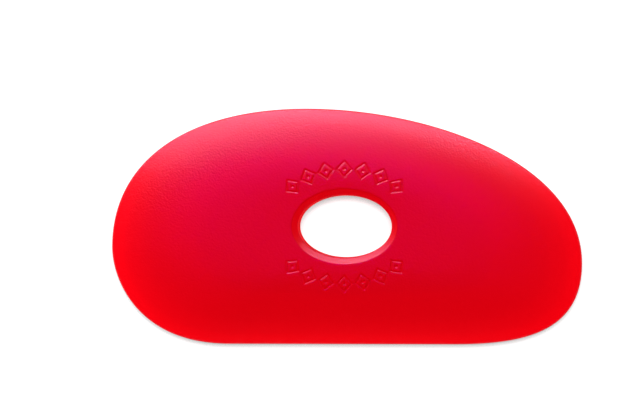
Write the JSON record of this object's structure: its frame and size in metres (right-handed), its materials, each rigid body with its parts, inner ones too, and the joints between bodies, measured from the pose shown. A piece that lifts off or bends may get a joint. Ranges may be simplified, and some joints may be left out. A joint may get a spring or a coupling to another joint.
{
  "type": "pottery rib",
  "caption": "Soft potter's rib with a domed face, a flat back, a thin rounded working edge and an oval finger hole.",
  "frame": {"origin": "on the flat back, at the middle of the outline, which is also the middle of the finger hole", "axes": "+X along the rib towards its lower, squarer end, +Y from the straight edge up to the arch, +Z out of the domed face"},
  "size_m": [0.0888, 0.0444, 0.006],
  "materials": {
    "soft_polyurethane": "matte red cast polyurethane, slightly translucent where it is thin"
  },
  "bodies": {
    "root": {"rib": "soft_polyurethane"}
  },
  "joints": []
}
